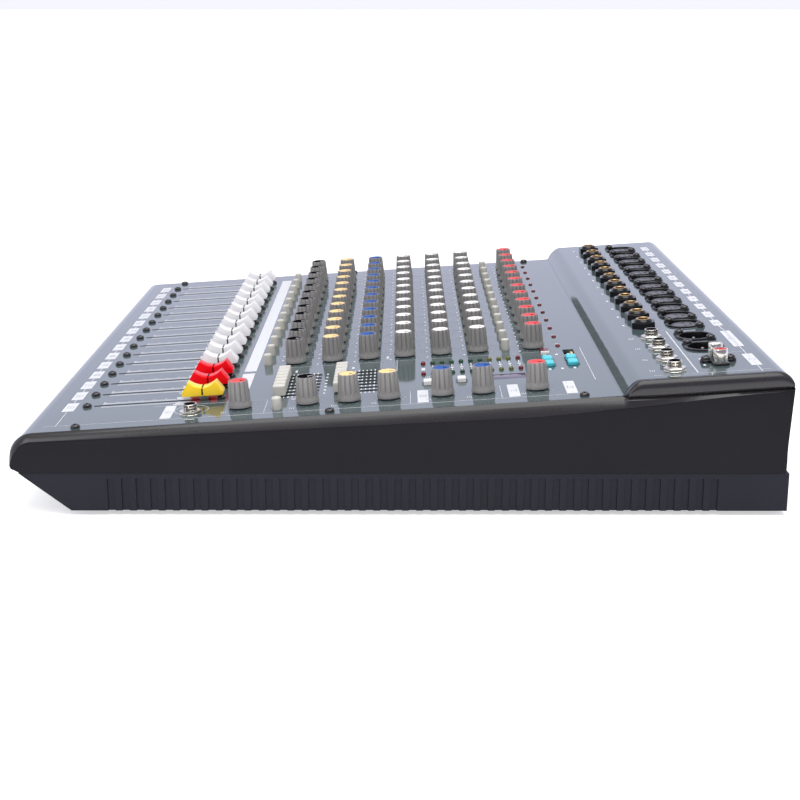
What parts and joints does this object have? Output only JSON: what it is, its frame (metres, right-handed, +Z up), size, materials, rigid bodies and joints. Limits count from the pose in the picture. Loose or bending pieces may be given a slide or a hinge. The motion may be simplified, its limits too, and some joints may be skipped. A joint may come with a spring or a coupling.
{
  "type": "mixing console",
  "caption": "Desktop audio mixing console: tilted panel with channel faders, rotary knobs, buttons, small graphic equalisers and a raised rear deck of audio sockets.",
  "frame": {"origin": "under the middle of the console, on the plane of its rubber feet", "axes": "+X to the operator's right, +Y from the operator to the rear, +Z up"},
  "size_m": [0.455, 0.44, 0.0913],
  "materials": {
    "panel_paint": "satin",
    "cheek_plastic": "gloss",
    "tray_plastic": "satin",
    "foot_rubber": "matte",
    "black_screw": "gloss",
    "connector_black": "satin",
    "jack_black": "gloss",
    "nickel": "polished",
    "socket_steel": "satin",
    "window_tint": "gloss",
    "led_green": "gloss",
    "led_red": "gloss",
    "led_amber": "gloss",
    "board_green": "satin",
    "pot_steel": "satin",
    "knob_grey": "satin",
    "cap_red": "satin",
    "cap_cream": "satin",
    "cap_blue": "satin",
    "cap_white": "satin",
    "cap_dark": "satin",
    "button_beige": "satin",
    "button_white": "satin",
    "key_cyan": "satin",
    "fader_white": "gloss",
    "fader_red": "gloss",
    "fader_yellow": "gloss",
    "rocker_black": "gloss",
    "print_white": "satin",
    "contact_gold": "polished"
  },
  "bodies": {
    "console": {"base_tray": "tray_plastic", "feet": "foot_rubber", "right_cheek": "cheek_plastic", "left_cheek": "cheek_plastic", "top_panel": "panel_paint", "screws": "black_screw", "xlr_female": "connector_black", "xlr_male": "connector_black", "line_jacks": "jack_black", "metal_jacks": "nickel", "rca_sockets": "nickel", "usb_socket": "socket_steel", "mains_inlet": "connector_black", "display_window": "window_tint", "leds": "led_green", "circuit_boards": "board_green", "slide_pots": "pot_steel", "channel_knobs": "knob_grey", "channel_buttons": "button_beige"},
    "fader_1": {"fader_1": "fader_white"},
    "fader_2": {"fader_2": "fader_white"},
    "fader_3": {"fader_3": "fader_white"},
    "fader_4": {"fader_4": "fader_white"},
    "fader_5": {"fader_5": "fader_white"},
    "fader_6": {"fader_6": "fader_white"},
    "fader_7": {"fader_7": "fader_white"},
    "fader_8": {"fader_8": "fader_white"},
    "fader_9": {"fader_9": "fader_white"},
    "fader_10": {"fader_10": "fader_white"},
    "fader_11": {"fader_11": "fader_white"},
    "fader_12": {"fader_12": "fader_white"},
    "fader_group_1": {"fader_group_1": "fader_red"},
    "fader_group_2": {"fader_group_2": "fader_red"},
    "fader_main": {"fader_main": "fader_yellow"},
    "eq_sliders_1": {"eq_sliders_1": "button_beige"},
    "eq_sliders_2": {"eq_sliders_2": "button_beige"},
    "knob_master_phones": {"knob_master_phones": "knob_grey"},
    "knob_master_effect": {"knob_master_effect": "knob_grey"},
    "knob_master_aux_left": {"knob_master_aux_left": "knob_grey"},
    "knob_master_aux_right": {"knob_master_aux_right": "knob_grey"},
    "knob_master_monitor_left": {"knob_master_monitor_left": "knob_grey"},
    "knob_master_monitor_right": {"knob_master_monitor_right": "knob_grey"},
    "knob_master_player": {"knob_master_player": "knob_grey"},
    "knob_12_level": {"knob_12_level": "knob_grey"},
    "knob_12_pan": {"knob_12_pan": "knob_grey"},
    "knob_12_effect": {"knob_12_effect": "knob_grey"},
    "knob_12_low": {"knob_12_low": "knob_grey"},
    "knob_12_mid": {"knob_12_mid": "knob_grey"},
    "knob_12_high": {"knob_12_high": "knob_grey"},
    "knob_12_gain": {"knob_12_gain": "knob_grey"},
    "button_12_mute": {"button_12_mute": "button_beige"},
    "button_12_pad": {"button_12_pad": "button_beige"},
    "button_standby": {"button_standby": "button_beige"},
    "button_square_1": {"button_square_1": "button_white"},
    "button_square_2": {"button_square_2": "button_white"},
    "player_key_1": {"player_key_1": "key_cyan"},
    "player_key_2": {"player_key_2": "key_cyan"},
    "player_key_3": {"player_key_3": "key_cyan"},
    "player_key_4": {"player_key_4": "key_cyan"},
    "power_rocker": {"power_rocker": "rocker_black"}
  },
  "joints": [
    {"name": "fader_1_slide", "type": "slide", "parent": "console", "child": "fader_1", "axis": [0, 0.9978, 0.0659], "range_m": [-0.06, 0]},
    {"name": "fader_2_slide", "type": "slide", "parent": "console", "child": "fader_2", "axis": [0, 0.9978, 0.0659], "range_m": [-0.06, 0]},
    {"name": "fader_3_slide", "type": "slide", "parent": "console", "child": "fader_3", "axis": [0, 0.9978, 0.0659], "range_m": [-0.06, 0]},
    {"name": "fader_4_slide", "type": "slide", "parent": "console", "child": "fader_4", "axis": [0, 0.9978, 0.0659], "range_m": [-0.06, 0]},
    {"name": "fader_5_slide", "type": "slide", "parent": "console", "child": "fader_5", "axis": [0, 0.9978, 0.0659], "range_m": [-0.06, 0]},
    {"name": "fader_6_slide", "type": "slide", "parent": "console", "child": "fader_6", "axis": [0, 0.9978, 0.0659], "range_m": [-0.06, 0]},
    {"name": "fader_7_slide", "type": "slide", "parent": "console", "child": "fader_7", "axis": [0, 0.9978, 0.0659], "range_m": [-0.06, 0]},
    {"name": "fader_8_slide", "type": "slide", "parent": "console", "child": "fader_8", "axis": [0, 0.9978, 0.0659], "range_m": [-0.06, 0]},
    {"name": "fader_9_slide", "type": "slide", "parent": "console", "child": "fader_9", "axis": [0, 0.9978, 0.0659], "range_m": [-0.06, 0]},
    {"name": "fader_10_slide", "type": "slide", "parent": "console", "child": "fader_10", "axis": [0, 0.9978, 0.0659], "range_m": [-0.06, 0]},
    {"name": "fader_11_slide", "type": "slide", "parent": "console", "child": "fader_11", "axis": [0, 0.9978, 0.0659], "range_m": [-0.06, 0]},
    {"name": "fader_12_slide", "type": "slide", "parent": "console", "child": "fader_12", "axis": [0, 0.9978, 0.0659], "range_m": [-0.06, 0]},
    {"name": "fader_group_1_slide", "type": "slide", "parent": "console", "child": "fader_group_1", "axis": [0, 0.9978, 0.0659], "range_m": [-0.06, 0]},
    {"name": "fader_group_2_slide", "type": "slide", "parent": "console", "child": "fader_group_2", "axis": [0, 0.9978, 0.0659], "range_m": [-0.06, 0]},
    {"name": "fader_main_slide", "type": "slide", "parent": "console", "child": "fader_main", "axis": [0, 0.9978, 0.0659], "range_m": [-0.06, 0]},
    {"name": "eq_sliders_1_slide", "type": "slide", "parent": "console", "child": "eq_sliders_1", "axis": [0, 0.9978, 0.0659], "range_m": [0, 0.02]},
    {"name": "eq_sliders_2_slide", "type": "slide", "parent": "console", "child": "eq_sliders_2", "axis": [0, 0.9978, 0.0659], "range_m": [0, 0.02]},
    {"name": "knob_master_phones_turn", "type": "hinge", "parent": "console", "child": "knob_master_phones", "pos_m": [0.1945, -0.092, 0.05478], "axis": [0, -0.0659, 0.9978], "range_deg": [-150, 150]},
    {"name": "knob_master_effect_turn", "type": "hinge", "parent": "console", "child": "knob_master_effect", "pos_m": [0.1945, -0.053, 0.05736], "axis": [0, -0.0659, 0.9978], "range_deg": [-150, 150]},
    {"name": "knob_master_aux_left_turn", "type": "hinge", "parent": "console", "child": "knob_master_aux_left", "pos_m": [0.1945, -0.0289, 0.05895], "axis": [0, -0.0659, 0.9978], "range_deg": [-150, 150]},
    {"name": "knob_master_aux_right_turn", "type": "hinge", "parent": "console", "child": "knob_master_aux_right", "pos_m": [0.1945, -0.006, 0.06046], "axis": [0, -0.0659, 0.9978], "range_deg": [-150, 150]},
    {"name": "knob_master_monitor_left_turn", "type": "hinge", "parent": "console", "child": "knob_master_monitor_left", "pos_m": [0.1945, 0.025, 0.06251], "axis": [0, -0.0659, 0.9978], "range_deg": [-150, 150]},
    {"name": "knob_master_monitor_right_turn", "type": "hinge", "parent": "console", "child": "knob_master_monitor_right", "pos_m": [0.1945, 0.0484, 0.06405], "axis": [0, -0.0659, 0.9978], "range_deg": [-150, 150]},
    {"name": "knob_master_player_turn", "type": "hinge", "parent": "console", "child": "knob_master_player", "pos_m": [0.1945, 0.0795, 0.0661], "axis": [0, -0.0659, 0.9978], "range_deg": [-150, 150]},
    {"name": "knob_12_level_turn", "type": "hinge", "parent": "console", "child": "knob_12_level", "pos_m": [0.0935, -0.0667, 0.05645], "axis": [0, -0.0659, 0.9978], "range_deg": [-150, 150]},
    {"name": "knob_12_pan_turn", "type": "hinge", "parent": "console", "child": "knob_12_pan", "pos_m": [0.0935, -0.0432, 0.05801], "axis": [0, -0.0659, 0.9978], "range_deg": [-150, 150]},
    {"name": "knob_12_effect_turn", "type": "hinge", "parent": "console", "child": "knob_12_effect", "pos_m": [0.0935, -0.0197, 0.05956], "axis": [0, -0.0659, 0.9978], "range_deg": [-150, 150]},
    {"name": "knob_12_low_turn", "type": "hinge", "parent": "console", "child": "knob_12_low", "pos_m": [0.0935, 0.0033, 0.06107], "axis": [0, -0.0659, 0.9978], "range_deg": [-150, 150]},
    {"name": "knob_12_mid_turn", "type": "hinge", "parent": "console", "child": "knob_12_mid", "pos_m": [0.0935, 0.0268, 0.06263], "axis": [0, -0.0659, 0.9978], "range_deg": [-150, 150]},
    {"name": "knob_12_high_turn", "type": "hinge", "parent": "console", "child": "knob_12_high", "pos_m": [0.0935, 0.0503, 0.06418], "axis": [0, -0.0659, 0.9978], "range_deg": [-150, 150]},
    {"name": "knob_12_gain_turn", "type": "hinge", "parent": "console", "child": "knob_12_gain", "pos_m": [0.0935, 0.0858, 0.06652], "axis": [0, -0.0659, 0.9978], "range_deg": [-150, 150]},
    {"name": "button_12_mute_press", "type": "slide", "parent": "console", "child": "button_12_mute", "axis": [0, 0.0659, -0.9978], "range_m": [0, 0.002], "stiffness_N_per_m": 150, "springref_m": -0.001},
    {"name": "button_12_pad_press", "type": "slide", "parent": "console", "child": "button_12_pad", "axis": [0, 0.0659, -0.9978], "range_m": [0, 0.002], "stiffness_N_per_m": 150, "springref_m": -0.001},
    {"name": "button_standby_press", "type": "slide", "parent": "console", "child": "button_standby", "axis": [0, 0.0659, -0.9978], "range_m": [0, 0.002], "stiffness_N_per_m": 150, "springref_m": -0.001},
    {"name": "button_square_1_press", "type": "slide", "parent": "console", "child": "button_square_1", "axis": [0, 0.0659, -0.9978], "range_m": [0, 0.0015], "stiffness_N_per_m": 150, "springref_m": -0.001},
    {"name": "button_square_2_press", "type": "slide", "parent": "console", "child": "button_square_2", "axis": [0, 0.0659, -0.9978], "range_m": [0, 0.0015], "stiffness_N_per_m": 150, "springref_m": -0.001},
    {"name": "player_key_1_press", "type": "slide", "parent": "console", "child": "player_key_1", "axis": [0, 0.0659, -0.9978], "range_m": [0, 0.0008], "stiffness_N_per_m": 300, "springref_m": -0.001},
    {"name": "player_key_2_press", "type": "slide", "parent": "console", "child": "player_key_2", "axis": [0, 0.0659, -0.9978], "range_m": [0, 0.0008], "stiffness_N_per_m": 300, "springref_m": -0.001},
    {"name": "player_key_3_press", "type": "slide", "parent": "console", "child": "player_key_3", "axis": [0, 0.0659, -0.9978], "range_m": [0, 0.0008], "stiffness_N_per_m": 300, "springref_m": -0.001},
    {"name": "player_key_4_press", "type": "slide", "parent": "console", "child": "player_key_4", "axis": [0, 0.0659, -0.9978], "range_m": [0, 0.0008], "stiffness_N_per_m": 300, "springref_m": -0.001},
    {"name": "power_rocker_tilt", "type": "hinge", "parent": "console", "child": "power_rocker", "pos_m": [-0.112, 0.214, 0.035], "axis": [1, 0, 0], "range_deg": [0, 16]}
  ]
}
